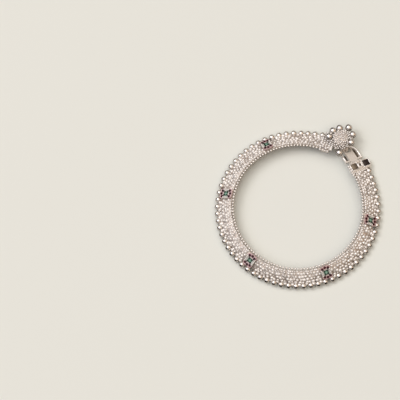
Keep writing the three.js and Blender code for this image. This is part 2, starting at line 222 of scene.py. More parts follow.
def tube(points, radius, sides=8):
    """A round wire through points, with flat ends."""
    points = np.array(points, float)
    ahead = np.gradient(points, axis=0)
    ahead = ahead / np.linalg.norm(ahead, axis=1)[:, None]
    aside = np.cross(ahead, [0.01, 0.02, 1])
    aside = aside / np.linalg.norm(aside, axis=1)[:, None]
    above = np.cross(aside, ahead)
    turns = 2 * math.pi * np.arange(sides) / sides
    rounds = np.cos(turns)[None, :, None] * aside[:, None] + np.sin(turns)[None, :, None] * above[:, None]
    skin = (points[:, None] + radius * rounds).reshape(-1, 3)
    faces = []
    for step in range(len(points) - 1):
        for side in range(sides):
            a, b = step * sides + side, step * sides + (side + 1) % sides
            faces.append((a, b, b + sides, a + sides))
    faces.append(tuple(reversed(range(sides))))
    faces.append(tuple(range((len(points) - 1) * sides, len(points) * sides)))
    return skin, faces, np.full(len(skin), 0.2)


def joined(parts):
    """Several results of copies() as one."""
    points, faces, tarnish, start = [], [], [], 0
    for part_points, part_faces, part_tarnish in parts:
        points.append(part_points)
        faces.extend(tuple(i + start for i in face) for face in part_faces)
        tarnish.append(part_tarnish)
        start += len(part_points)
    return np.concatenate(points), faces, np.concatenate(tarnish)


def darker(part, amount):
    """The same part, darker all over by an amount."""
    points, faces, tarnish = part
    return points, faces, tarnish + amount


def piece(name, part, material, replaces=()):
    """A Blender object from points in mm, faces and darkening, riding on the anklet's one body."""
    points, faces, tarnish = part
    mesh = bpy.data.meshes.new(name)
    mesh.from_pydata((points * MM).tolist(), [], faces)
    mesh.validate()
    mesh.shade_smooth()
    # Painted shade, painted dark reflections and real tarnish, as one number that the materials read.
    layer = mesh.attributes.new("tarnish", "FLOAT", "POINT")
    layer.data.foreach_set("value", np.asarray(tarnish, np.float32))
    mesh.materials.append(material)
    made = bpy.data.objects.new(name, mesh)
    bpy.context.scene.collection.objects.link(made)
    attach(made, "root")
    if replaces:
        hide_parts(*replaces)
    triangles = sum(len(face) - 2 for face in faces)
    print(f"{name}: {triangles} triangles")
    return made


# %% [markdown]
# Materials are small node graphs. One function adds a node with its settings and links, and one turns the
# hex colours of a colour picker, which are sRGB, into the linear numbers that Blender computes with. Two
# kinds of fine detail are used all over: a soft noise, and a ramp that turns it into a few close tones.

# %% Colours and nodes
def colour(hex_value):
    """An sRGB hex colour as linear red, green, blue and alpha."""
    channels = [int(hex_value[i : i + 2], 16) / 255 for i in (1, 3, 5)]
    linear = [c / 12.92 if c <= 0.04045 else ((c + 0.055) / 1.055) ** 2.4 for c in channels]
    return (*linear, 1.0)


def add_node(tree, kind, inputs=None, **settings):
    """Adds a node, sets its options, and fills or links its inputs."""
    node = tree.nodes.new(kind)
    for name, value in settings.items():
        setattr(node, name, value)
    for key, value in (inputs or {}).items():
        if isinstance(value, bpy.types.NodeSocket):
            tree.links.new(value, node.inputs[key])
        else:
            node.inputs[key].default_value = value
    return node


def new_material(name):
    """An empty material and its node tree with an output node."""
    material = bpy.data.materials.new(name)
    material.use_nodes = True
    material.node_tree.nodes.clear()
    output = add_node(material.node_tree, "ShaderNodeOutputMaterial")
    return material, material.node_tree, output


def colour_ramp(tree, factor, stops):
    """A colour ramp from (position, hex colour) stops."""
    node = add_node(tree, "ShaderNodeValToRGB", {"Fac": factor})
    ramp = node.color_ramp
    while len(ramp.elements) < len(stops):
        ramp.elements.new(0.5)
    for element, (position, value) in zip(ramp.elements, stops):
        element.position = position
        element.color = colour(value)
    return node.outputs["Color"]


# %% [markdown]
# Polished silver is cast or rolled, then buffed. It reflects nearly everything, a little warmer in the
# dark tones, so its look comes from what stands round it. The granules are only pickled white, not buffed,
# so part of their light is spread as on a matt surface. Fine handling marks break up the shine: a noise
# about 0.4 mm across varies the roughness, and the same noise makes a very shallow bump.

# %% Polished silver
ROUGHNESS_RANGE = 0.07
MARK_STRENGTH = 0.6


def polished_silver(name, bright, tarnished, metallic, roughness, mark_mm, bump_mm, stops=(0.14, 0.4)):
    material, tree, output = new_material(name)
    place = add_node(tree, "ShaderNodeTexCoord").outputs["Object"]
    marks = add_node(
        tree, "ShaderNodeTexNoise", {"Vector": place, "Scale": 1 / (mark_mm * MM), "Detail": 4.0}
    ).outputs["Fac"]
    depth = add_node(tree, "ShaderNodeAttribute", attribute_name="tarnish").outputs["Fac"]
    mixed = add_node(
        tree, "ShaderNodeMath", {0: depth, 1: marks}, operation="MULTIPLY"
    ).outputs["Value"]
    # The colour runs from the bright tone to the dark one as the darkening number grows: painted shade and
    # painted dark reflections, plus real tarnish.
    tint = colour_ramp(tree, mixed, [(stops[0], bright), (stops[1], tarnished)])
    rough = add_node(
        tree,
        "ShaderNodeMapRange",
        {"Value": marks, "To Min": roughness - ROUGHNESS_RANGE, "To Max": roughness + ROUGHNESS_RANGE},
    ).outputs["Result"]
    bump = add_node(
        tree, "ShaderNodeBump", {"Height": marks, "Distance": bump_mm * MM, "Strength": MARK_STRENGTH}
    ).outputs["Normal"]
    shader = add_node(
        tree,
        "ShaderNodeBsdfPrincipled",
        {"Base Color": tint, "Metallic": metallic, "Roughness": rough, "Normal": bump},
    )
    tree.links.new(shader.outputs["BSDF"], output.inputs["Surface"])
    return material


# Buffed on a wheel: a near mirror. Its dark tone, almost black, is for the painted dark reflections and
# painted shade on the balls.
silver_buffed = polished_silver("buffed_silver", "#ded7d0", "#2e2722", 0.9, 0.22, 0.4, 0.012, (0.1, 0.3))
# Granules pickled white and tumbled: half of their light is spread, which gives the weave its bloom.
silver_granule = polished_silver("granulated_silver", "#f3eee9", "#a2968d", 0.5, 0.38, 0.35, 0.02)
# Wire drawn through a plate, a little duller than the granules that it rings.
silver_wire = polished_silver("drawn_silver_wire", "#ebe5df", "#a89d95", 0.5, 0.36, 0.3, 0.02)
# Low places that are never rubbed, where the silver has dulled.
silver_oxidised = polished_silver("oxidised_silver", "#ddd1c7", "#b0a398", 0.55, 0.42, 0.5, 0.03)
# Beads of the inner edge, with painted shade: bright on top and dark on their low sides and between them.
bead_silver = polished_silver("bead_silver", "#efe8e1", "#85786d", 0.6, 0.28, 0.35, 0.015, (0.14, 0.3))
# The clasp's edges, which fingers keep bright.
bright_wire = polished_silver("bright_wire", "#fdf7f2", "#e3d9d1", 0.75, 0.26, 0.3, 0.01)
print("silver finishes:", [m.name for m in bpy.data.materials if "silver" in m.name])

# %% [markdown]
# The stones are small and smooth. Dark garnet glass and green glass are modelled as glossy solids: at a
# millimetre across, no light is seen to pass through. A material can use a point's place in its own
# piece, so a small function writes that place, counted in the band's directions from the piece's middle.
# Garnet is nearly black in its depth and wine red where the light gets in: clouds about 0.9 mm across.

# %% Stones
def write_places(made, middle, axes, half_sizes):
    """Writes each point's place in a piece's own directions, -1 to 1, as the attribute "place"."""
    points = np.array([v.co for v in made.data.vertices]) / MM
    local = (points - middle) @ axes / np.array(half_sizes)
    layer = made.data.attributes.new("place", "FLOAT_VECTOR", "POINT")
    layer.data.foreach_set("vector", local.astype(np.float32).ravel())


def place_parts(tree):
    """The attribute "place" as sizes without sign, along and across the band."""
    place = add_node(tree, "ShaderNodeAttribute", attribute_name="place").outputs["Vector"]
    sizes = add_node(tree, "ShaderNodeVectorMath", {0: place}, operation="ABSOLUTE").outputs["Vector"]
    parts = add_node(tree, "ShaderNodeSeparateXYZ", {"Vector": sizes})
    return parts.outputs["X"], parts.outputs["Y"]


def cloudy(tree, size_mm, detail):
    """A soft noise whose blobs are about size_mm across."""
    place = add_node(tree, "ShaderNodeTexCoord").outputs["Object"]
    return add_node(
        tree, "ShaderNodeTexNoise", {"Vector": place, "Scale": 1 / (size_mm * MM), "Detail": detail}
    ).outputs["Fac"]


GARNET_CLOUD_MM = 0.9
GLASS_IOR = 1.5
garnet_glass, tree, output = new_material("garnet_glass")
tint = colour_ramp(tree, cloudy(tree, GARNET_CLOUD_MM, 3.0), [(0.35, "#2e0510"), (0.75, "#5e1122")])
shader = add_node(
    tree,
    "ShaderNodeBsdfPrincipled",
    {"Base Color": tint, "Roughness": 0.2, "IOR": GLASS_IOR, "Coat Weight": 0.2},
)
tree.links.new(shader.outputs["BSDF"], output.inputs["Surface"])

# %% [markdown]
# The green centre is one pale stone between four dark corners, and both tones are painted: painted shade on
# its cut corners, which take no light from above, and a painted pale reflection on its table. The product
# of the two distances from its middle is high in the corners only, so it draws the dark cross.

# %% Green stone
GREEN_CLOUD_MM = 0.8
GREEN_SPREAD = 0.16
green_glass, tree, output = new_material("green_glass")
along_part, across_part = place_parts(tree)
corner = add_node(
    tree, "ShaderNodeMath", {0: along_part, 1: across_part}, operation="MULTIPLY"
).outputs["Value"]
clouds = cloudy(tree, GREEN_CLOUD_MM, 2.0)
spread = add_node(
    tree, "ShaderNodeMath", {0: clouds, 1: GREEN_SPREAD}, operation="MULTIPLY"
).outputs["Value"]
uneven = add_node(tree, "ShaderNodeMath", {0: corner, 1: spread}, operation="ADD").outputs["Value"]
# Pale painted reflection in the middle, darkening to painted shade in the corners.
tint = colour_ramp(
    tree, uneven, [(0.05, "#a6bfb0"), (0.13, "#67907a"), (0.26, "#2b4f3c"), (0.4, "#0e261a")]
)
shader = add_node(
    tree,
    "ShaderNodeBsdfPrincipled",
    {"Base Color": tint, "Roughness": 0.18, "IOR": GLASS_IOR, "Coat Weight": 0.3},
)
tree.links.new(shader.outputs["BSDF"], output.inputs["Surface"])

# %% [markdown]
# The plate under the stones is matt white silver, with painted reflected colour: a pink tone from the
# garnets near its two ends, and a pale green one beside the green stone.

# %% Motif plate
PLATE_CLOUD_MM = 0.7
PLATE_SPREAD = 0.25
PLATE_GRAIN_MM = 0.3
PLATE_GRAIN_DEPTH = 0.05
matt_plate, tree, output = new_material("matt_white_silver")
along_part, across_part = place_parts(tree)
clouds = cloudy(tree, PLATE_CLOUD_MM, 3.0)
spread = add_node(
    tree, "ShaderNodeMath", {0: clouds, 1: PLATE_SPREAD}, operation="MULTIPLY"
).outputs["Value"]
uneven = add_node(tree, "ShaderNodeMath", {0: across_part, 1: spread}, operation="ADD").outputs["Value"]
# Painted reflections of the stones: pale green in the middle, pink towards the garnets at both ends.
tint = colour_ramp(
    tree, uneven, [(0.25, "#cfd3c9"), (0.5, "#d3c6c0"), (0.85, "#cfa9ab"), (1.0, "#cdb3b0")]
)
grain = cloudy(tree, PLATE_GRAIN_MM, 4.0)
bump = add_node(
    tree, "ShaderNodeBump", {"Height": grain, "Distance": PLATE_GRAIN_DEPTH * MM, "Strength": 0.8}
).outputs["Normal"]
shader = add_node(
    tree,
    "ShaderNodeBsdfPrincipled",
    {"Base Color": tint, "Metallic": 0.35, "Roughness": 0.5, "Normal": bump},
)
tree.links.new(shader.outputs["BSDF"], output.inputs["Surface"])

# %% [markdown]
# The clasp is cut from sheet and filed, so it is satin: its fine scratches spread the light. The insides of
# its windows get painted shade, a brown tone that is darker on the outer side.

# %% Satin silver and painted recess shade
FILED_MARK_MM = 0.5
FILED_MARK_DEPTH = 0.04
satin_silver, tree, output = new_material("satin_silver")
marks = cloudy(tree, FILED_MARK_MM, 5.0)
tint = colour_ramp(tree, marks, [(0.3, "#d6cbc0"), (0.7, "#ece4db")])
bump = add_node(
    tree, "ShaderNodeBump", {"Height": marks, "Distance": FILED_MARK_DEPTH * MM, "Strength": 0.7}
).outputs["Normal"]
shader = add_node(
    tree,
    "ShaderNodeBsdfPrincipled",
    {"Base Color": tint, "Metallic": 0.35, "Roughness": 0.36, "Normal": bump},
)
tree.links.new(shader.outputs["BSDF"], output.inputs["Surface"])

RECESS_CLOUD_MM = 0.6
RECESS_SPREAD = 0.4
# Painted shade for the windows and the slots: brown, darkest on the outer side.
brown_recess, tree, output = new_material("brown_recess")
place = add_node(tree, "ShaderNodeAttribute", attribute_name="place").outputs["Vector"]
across = add_node(tree, "ShaderNodeSeparateXYZ", {"Vector": place}).outputs["Y"]
clouds = cloudy(tree, RECESS_CLOUD_MM, 3.0)
spread = add_node(
    tree, "ShaderNodeMath", {0: clouds, 1: RECESS_SPREAD}, operation="MULTIPLY"
).outputs["Value"]
uneven = add_node(tree, "ShaderNodeMath", {0: across, 1: spread}, operation="ADD").outputs["Value"]
side = add_node(tree, "ShaderNodeMapRange", {"Value": uneven, "From Min": -1.0, "From Max": 1.0})
tint = colour_ramp(tree, side.outputs["Result"], [(0.2, "#2d211d"), (0.5, "#4f4238"), (0.9, "#857664")])
shader = add_node(tree, "ShaderNodeBsdfPrincipled", {"Base Color": tint, "Metallic": 0.3, "Roughness": 0.6})
tree.links.new(shader.outputs["BSDF"], output.inputs["Surface"])

# %% [markdown]
# The weave. On the real anklet a flexible net of silver rings carries rows of granules that get smaller
# towards the ankle. They could be instances on a grid, but a net made by hand is never even. So each row
# is laid out in step with the ball edge, staggered from the next, and each granule is then nudged and sized
# by seeded random numbers. A few are only hollow rings, and a few have gone dull, which makes the dark
# specks of the weave. The granules are a little longer along the band than across.

# %% Rows of granules
ROWS = [
    {"y": -4.4, "z": 1.2, "radius": 1.0, "every": 1.0, "shift": 0.5},
    {"y": -3.15, "z": 1.2, "radius": 1.12, "every": 1.0, "shift": 0.5},
    {"y": -3.1, "z": 1.45, "radius": 0.85, "every": 1.0, "shift": 0.0},
    {"y": -1.5, "z": 1.5, "radius": 0.97, "every": 0.5, "shift": 0.25},
    {"y": 0.2, "z": 1.6, "radius": 0.94, "every": 0.5, "shift": 0.0},
    {"y": 1.85, "z": 1.55, "radius": 0.9, "every": 0.5, "shift": 0.25},
    {"y": 3.2, "z": 1.5, "radius": 0.7, "every": 0.35, "shift": 0.0},
]
BALL_PITCH = 4.3
MOTIF_TURNS = (64.2, 117.4, 177.8, 241.2, 298.4)
MOTIF_ANGLES = [CLASP_ANGLE + math.radians(turn) for turn in MOTIF_TURNS]
MOTIF_HALF_WIDTH = 3.0

ball_row_radius = BAND_RADIUS - BALL_Y * math.cos(SLOPE) + BALL_LIFT * math.sin(SLOPE)
CAP_CLEARANCE = 0.3
first_ball, last_ball = open_range(BALL_Y, BALL_LIFT, CAP_CLEARANCE + BALL_RADIUS)
ball_count = round((last_ball - first_ball) * ball_row_radius / BALL_PITCH) + 1
ball_step = (last_ball - first_ball) / (ball_count - 1)
print("balls on the edge:", ball_count)


def row_angles(y, z, margin, every, shift):
    """Angles of a row's granules, in step with the ball edge, between the caps."""
    start, end = open_range(y, z, margin)
    count = int((ball_count + 1) / every)
    angles = [first_ball + ball_step * (shift - 1 + every * k) for k in range(count + 3)]
    return [a for a in angles if start <= a <= end]


def clear_of_motifs(angle, margin):
    """True where a granule doesn't run into a motif's plate."""
    for middle in MOTIF_ANGLES:
        apart = (angle - middle + math.pi) % (2 * math.pi) - math.pi
        if abs(apart) * BAND_RADIUS < MOTIF_HALF_WIDTH + margin:
            return False
    return True


WOBBLE = 0.27
ALONG_WOBBLE = 1.5 * WOBBLE
SIZE_RANGE = (0.78, 1.1)
FILL_OF_RING = 0.86
HOLLOW_FILL = 0.45
HOLLOW_SHARE = 0.13
DULL_SHARE = 0.16
DULL_TARNISH = 0.4
GRANULE_STRETCH = (1.12, 0.9, 1.0)
RING_DROP = 0.1
RING_SIZE = 0.92
granules = []
rings = []
dome = ball_shape(sides=14, rings=6, lowest=-0.3)
wire_ring = ring_shape(0.2, sides=16, section=6)
for row in ROWS:
    angles = row_angles(row["y"], row["z"], row["radius"] * 0.3, row["every"], row["shift"])
    angles = [a for a in angles if clear_of_motifs(a, row["radius"] * 0.5)]
    wobble = WOBBLE * row["radius"]
    along_wobble = ALONG_WOBBLE * row["radius"]
    angles = np.array([a + rng.uniform(-along_wobble, along_wobble) / BAND_RADIUS for a in angles])
    y = row["y"] + np.array([rng.uniform(-wobble, wobble) for _ in angles])
    lift = row["z"] + np.array([rng.uniform(-wobble, wobble) for _ in angles])
    size = row["radius"] * np.array([rng.uniform(*SIZE_RANGE) for _ in angles])
    fill = np.array([HOLLOW_FILL if rng.random() < HOLLOW_SHARE else FILL_OF_RING for _ in angles])
    dull = np.array([DULL_TARNISH if rng.random() < DULL_SHARE else 0.0 for _ in angles])
    # Painted shade on each granule's low side, plus real tarnish on the dull ones.
    tarnish = dull[:, None] + 0.5 - 0.5 * dome[0][:, 2]
    axes = band_axes(angles)
    stretch = size[:, None] * np.array(GRANULE_STRETCH)
    granules.append(copies(dome, on_band(angles, y, lift), axes, stretch * fill[:, None], tarnish))
    rings.append(copies(wire_ring, on_band(angles, y, lift - RING_DROP), axes, stretch * RING_SIZE))
piece("granule_rows", joined(granules), silver_granule, ["woven_band"])
piece("granule_rings", joined(rings), silver_wire)

# %% [markdown]
# Under the granules lies the net itself. None of its links can be told apart from above, so it is one
# strip with rounded shoulders, swept round the ankle from cap to cap and dulled, as low places are.

# %% Backing of the weave
def strip(y_values, z_values, steps, margin):
    """A closed strip round the ankle with a profile of y and z values."""
    start, end = open_range(max(y_values), 0, margin)
    angles = np.linspace(start, end, steps + 1)
    count = len(y_values)
    y_values = np.array(y_values)
    z_values = np.array(z_values)
    points = np.concatenate([on_band(np.full(count, angle), y_values, z_values) for angle in angles])
    faces = []
    for step in range(steps):
        for side in range(count):
            a = step * count + side
            b = step * count + (side + 1) % count
            faces.append((a, b, b + count, a + count))
    faces.append(tuple(reversed(range(count))))
    faces.append(tuple(range(steps * count, (steps + 1) * count)))
    return points, faces, np.full(len(points), BACKING_TARNISH)


BACKING_TARNISH = 0.7
BACKING_STEPS = 180
half = BAND_WIDTH / 2
shoulder = BAND_THICKNESS - 0.8
top = BAND_THICKNESS - 0.4
backing = strip(
    [-half, half, half, half - 0.5, -half + 0.5, -half],
    [0, 0, shoulder, top, top, shoulder],
    BACKING_STEPS,
    CAP_CLEARANCE,
)
piece("weave_backing", backing, silver_oxidised)

# %% [markdown]
# The ball edge. Each ball is two pressed half shells soldered together and buffed, so it is a true mirror
# ball, and it hangs on a short link from the band's edge. The balls are a little larger than the CAD's
# string, whose flats lie inside them, and their centres are as much higher, so they stand on the table.
# Each ball also gets painted light: a painted dark reflection as a crescent on its outer side, strongest
# on the balls nearest the camera, and painted shade on its lower half, where the shadowed table would
# show. Both are written on the points, because that keeps one mesh and one material.

# %% Ball edge
CRESCENT_TILT = math.radians(50)
CRESCENT_WIDTH = math.radians(17)
CRESCENT_LENGTH = 0.6
RIM_HEIGHT = 0.75
RIM_FADE = 0.45
CLEAN_TARNISH = 0.08


def unbuffed(shape, crescent, rim):
    """Painted dark reflection as a crescent on the side of -y, half-way down, and painted shade low all
    round.
    """
    x, y, z = shape[0].T
    tilt = np.arctan2(-y, z)
    dark = np.exp(-(((tilt - CRESCENT_TILT) / CRESCENT_WIDTH) ** 2) - (x / CRESCENT_LENGTH) ** 2)
    below = np.clip((RIM_HEIGHT - z) / RIM_FADE, 0, 1)
    return CLEAN_TARNISH + crescent * dark + rim * below


SHOWN_BALL_RADIUS = 1.82
ball_angles = np.linspace(first_ball, last_ball, ball_count)
ball_axes = band_axes(ball_angles)
full_ball = ball_shape(sides=24, rings=16)
ball_centres = on_band(ball_angles, BALL_Y + 0.1, BALL_LIFT)
ball_centres[:, 2] = SHOWN_BALL_RADIUS
upright_axes = leaning_axes(ball_angles, 0)
# The painted dark reflection is strongest on the balls nearest the camera.
DARKEST_BALL_ANGLE = math.radians(CAMERA_AZIMUTH - 95)
BALL_RIM = 0.14
facing = np.cos(ball_angles - DARKEST_BALL_ANGLE)
crescents = 0.3 + 0.55 * np.clip(facing, 0, 1)[:, None]
ball_tarnish = unbuffed(full_ball, crescents, BALL_RIM)
balls = copies(full_ball, ball_centres, upright_axes, SHOWN_BALL_RADIUS, ball_tarnish)
piece("edge_balls", balls, silver_buffed, ["edge_ball_row"])
LINK_RADIUS = 0.75
LINK_Y = BALL_Y + 1.75
link = ring_shape(0.3, sides=14, section=6)
link_axes = ball_axes[:, :, [1, 2, 0]]
links = copies(link, on_band(ball_angles, LINK_Y, BALL_LIFT), link_axes, LINK_RADIUS)
piece("edge_links", links, silver_wire)

# %% [markdown]
# The inner edge is a fine chain of beads that touches the ankle. Round beads at an even step show as the
# dotted line of the photograph. A real chain is made of bent wire, but at this size it looks the same.

# %% Inner edge beads
BEAD_PITCH = 1.75
BEAD_RADIUS = 0.74
BEAD_Y = BAND_WIDTH / 2 + 0.3 + 0.65
BEAD_LIFT = 0.9
start, end = open_range(BEAD_Y, BEAD_LIFT, CAP_CLEARANCE + BEAD_RADIUS)
bead_row_radius = BAND_RADIUS - BEAD_Y * math.cos(SLOPE)
bead_count = round((end - start) * bead_row_radius / BEAD_PITCH) + 1
bead_angles = np.linspace(start, end, bead_count)
bead_axes = band_axes(bead_angles)
bead = ball_shape(sides=14, rings=8)
beads = copies(bead, on_band(bead_angles, BEAD_Y, BEAD_LIFT), bead_axes, BEAD_RADIUS)
piece("inner_edge_beads", beads, bead_silver, ["inner_edge_chain"])

# %% [markdown]
# The CAD nodes that keep their shape get a small bevel, because no cast edge is perfectly sharp: the bevel
# catches a thin line of light that tells the eye the piece is metal. A bevel modifier is enough for that,
# and it leaves the CAD mesh as it is.

# %% Finish the CAD nodes
METAL_BEVEL = 0.12
GREEN_BEVEL = 0.04
GARNET_BEVEL = 0.03
SHARPEST_LEFT = math.radians(40)


def finish_node(name, material, bevel_mm):
    """Gives a CAD node its material and a rounded edge."""
    node = nodes[name]
    node.data.materials.clear()
    node.data.materials.append(material)
    bevel = node.modifiers.new("rounded_edge", "BEVEL")
    bevel.width = bevel_mm * MM
    bevel.segments = 2
    bevel.limit_method = "ANGLE"
    bevel.angle_limit = SHARPEST_LEFT


def middle_of(name):
    """The middle of a node's box in mm."""
    node_low, node_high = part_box(name)
    return np.array((node_low + node_high) / 2) / MM


PLATE_HALF = (3.0, 3.95, 1)
GREEN_HALF = (1.3, 1.3, 1)
for name in nodes:
    if name.startswith("motif_plate"):
        axes = band_axes(MOTIF_ANGLES[int(name[-1]) - 1])[0]
        write_places(nodes[name], middle_of(name), axes, PLATE_HALF)
        finish_node(name, matt_plate, METAL_BEVEL)
    elif name.startswith("motif_green"):
        axes = band_axes(MOTIF_ANGLES[int(name[-1]) - 1])[0]
        write_places(nodes[name], middle_of(name), axes, GREEN_HALF)
        finish_node(name, green_glass, GREEN_BEVEL)
    elif name.startswith("motif_red"):
        finish_node(name, garnet_glass, GARNET_BEVEL)
    elif name.startswith(("clasp_plate", "hinge_pin")):
        finish_node(name, satin_silver, METAL_BEVEL)
    elif name == "rosette":
        finish_node(name, silver_oxidised, METAL_BEVEL)
print("stone and plate nodes finished:", sum(name.startswith("motif") for name in nodes))

# %% [markdown]
# Small parts that sit on a motif or a cap are placed in that piece's own frame: x along the band, y towards
# the ankle and z out of the face, from the band's middle line.

# %% Parts placed in a frame
box_shape = (
    np.array([(x, y, z) for x in (-1, 1) for y in (-1, 1) for z in (-1, 1)], float),
    [(0, 1, 3, 2), (4, 6, 7, 5), (0, 4, 5, 1), (2, 3, 7, 6), (0, 2, 6, 4), (1, 5, 7, 3)],
)
small_dome = ball_shape(sides=12, rings=6, lowest=-0.5)


def in_frame(origin, axes, places):
    """Points in mm from places in a frame's own directions."""
    return origin + np.array(places, float) @ axes.T


def same_axes(axes, count):
    """One frame's axes for each of several copies."""
    return np.broadcast_to(axes, (count, 3, 3))


def boxes(origin, axes, places, half_sizes):
    """Boxes at places in a frame."""
    return copies(box_shape, in_frame(origin, axes, places), same_axes(axes, len(places)), half_sizes)


def dots(origin, axes, places, radius):
    """Granules at places in a frame."""
    return copies(small_dome, in_frame(origin, axes, places), same_axes(axes, len(places)), radius)


# %% [markdown]
# Fine parts of a motif: a dark ring round each garnet, a dark green claw at each corner of the green stone
# that reaches out to the nearest garnet, and silver granules beside the stone, where the weave runs on
# over the plate. The claws are wire bent over the stone and enamelled, so they hide its corners.

# %% Claws, collets and side granules
PLATE_TOP = 2.8
GARNET_PLACES = [(x, end * (2.95 if x == 0 else 2.45)) for end in (-1, 1) for x in (-1.75, 0, 1.75)]
COLLET_LIFT = 0.12
COLLET_RADIUS = 0.66
CLAW_LINE = ((1.0, 1.0, 3.35), (1.3, 1.5, 3.15), (1.6, 2.1, 2.95))
CLAW_WIRE = 0.22
CLAW_TIP = (1.05, 1.05, 3.3)
CLAW_TIP_RADIUS = 0.42
SIDE_DOT_RADIUS = 0.56
SIDE_TARNISH = 0.3
ENAMEL_CLOUD_MM = 0.5
claw_green, tree, output = new_material("dark_green_claw")
tint = colour_ramp(tree, cloudy(tree, ENAMEL_CLOUD_MM, 3.0), [(0.35, "#0c1b13"), (0.75, "#20402f")])
shader = add_node(tree, "ShaderNodeBsdfPrincipled", {"Base Color": tint, "Metallic": 0.2, "Roughness": 0.4})
tree.links.new(shader.outputs["BSDF"], output.inputs["Surface"])
collet = ring_shape(0.24, sides=14, section=6)
claw_parts, collet_parts, side_parts = [], [], []
for angle in MOTIF_ANGLES:
    origin, axes = on_band(angle, 0, 0)[0], band_axes(angle)[0]
    rings_at = in_frame(origin, axes, [(x, y, PLATE_TOP + COLLET_LIFT) for x, y in GARNET_PLACES])
    collet_parts.append(copies(collet, rings_at, same_axes(axes, len(rings_at)), COLLET_RADIUS))
    for corner in ((-1, -1, 1), (-1, 1, 1), (1, -1, 1), (1, 1, 1)):
        line = np.array(CLAW_LINE) * corner
        claw_parts.append(tube(in_frame(origin, axes, line), CLAW_WIRE, sides=6))
        claw_parts.append(dots(origin, axes, [np.array(CLAW_TIP) * corner], CLAW_TIP_RADIUS))
    side_places = [(x, y, PLATE_TOP) for x in (-2.45, 2.45) for y in (-1.5, -0.5, 0.5, 1.5)]
    side_parts.append(dots(origin, axes, side_places, SIDE_DOT_RADIUS))
piece("garnet_collets", joined(collet_parts), garnet_glass)
piece("green_claws", joined(claw_parts), claw_green)
piece("motif_granules", darker(joined(side_parts), SIDE_TARNISH), silver_granule)

# %% [markdown]
# The end caps are boxes with two windows. Brown sheets of painted shade lie in the windows, and a ring
# with a painted dark dot for its hole and two granules sit between them. Beads edge both caps on the
# ankle's side.

# %% End caps
CAP_WIDTH = 12.6
CAP_HEIGHT = 2.9
CAP_OFFSET = -0.9
CAP_INNER = CAP_OFFSET + CAP_WIDTH / 2
CAP_BEAD_RADIUS = 0.66
CAP_BEAD_Y = CAP_INNER + 0.3
CAP_BEAD_LIFT = 1.8
caps = {}
for name, angle in (("end_cap_a", CLASP_ANGLE - CAP_ANGLE), ("end_cap_b", CLASP_ANGLE + CAP_ANGLE)):
    finish_node(name, satin_silver if name == "end_cap_a" else silver_oxidised, METAL_BEVEL)
    caps[name] = (on_band(angle, 0, 0)[0], band_axes(angle)[0])

origin, axes = caps["end_cap_a"]
FIELD_SHIFT = 0.8
FIELD_HALF = (2.1, 2.3)
field_middles = [(FIELD_SHIFT, CAP_OFFSET + 3.75, CAP_HEIGHT), (FIELD_SHIFT, CAP_OFFSET - 4.3, CAP_HEIGHT)]
SHEET_HALF = 0.1
RING_HOLE_RADIUS = 0.7
# Painted shade: a brown sheet in each window, and a dark dot in the ring's hole.
linings = boxes(origin, axes, field_middles, [[*FIELD_HALF, SHEET_HALF]] * 2)
ring_hole = dots(origin, axes, [(FIELD_SHIFT, CAP_OFFSET, CAP_HEIGHT + SHEET_HALF)], RING_HOLE_RADIUS)
made = piece("window_linings", joined([linings, ring_hole]), brown_recess)
write_places(made, origin, axes, (CAP_LENGTH / 2, CAP_WIDTH / 2, CAP_HEIGHT))
FRAME_WIRE = 0.3
FRAME_LIFT = 0.15
BOSS_LIFT = 0.25
BOSS_RADIUS = 1.2
BOSS_DOT_RADIUS = 0.75
frames = []
for x, y, z in field_middles:
    reach_x, reach_y = FIELD_HALF
    corners = [(-1, -1), (0, -1), (1, -1), (1, 0), (1, 1), (0, 1), (-1, 1), (-1, 0), (-1, -1)]
    line = [(x + a * reach_x, y + b * reach_y, z + FRAME_LIFT) for a, b in corners]
    frames.append(tube(in_frame(origin, axes, line), FRAME_WIRE))
boss_ring = in_frame(origin, axes, [(FIELD_SHIFT, CAP_OFFSET, CAP_HEIGHT + BOSS_LIFT)])
frames.append(copies(ring_shape(0.32, 16, 6), boss_ring, same_axes(axes, 1), BOSS_RADIUS))
boss_places = [(1.2, CAP_OFFSET - 1.45, CAP_HEIGHT + 0.1), (0, CAP_OFFSET - 1.5, CAP_HEIGHT + 0.1)]
boss_dots = dots(origin, axes, boss_places, BOSS_DOT_RADIUS)
edge_places = [(x, CAP_BEAD_Y, CAP_BEAD_LIFT) for x in np.arange(-3.6, 2.9, 1.5)]
cap_edge = dots(origin, axes, edge_places, CAP_BEAD_RADIUS)
joint_places = [(-CAP_LENGTH / 2 - 0.2, y, 1.7) for y in np.arange(-4.4, 4.6, 1.25)]
joint_dots = dots(origin, axes, joint_places, BOSS_DOT_RADIUS)
print("beads on the first cap's edge:", len(edge_places))

# %% [markdown]
# The second cap lies under the rosette, and in the photograph granules run on over it and past its end. So
# it gets a dull cover sheet with granules of mixed sizes, laid on staggered rows and nudged, and two rows
# of granules on its end face, which close the gap towards the rosette.

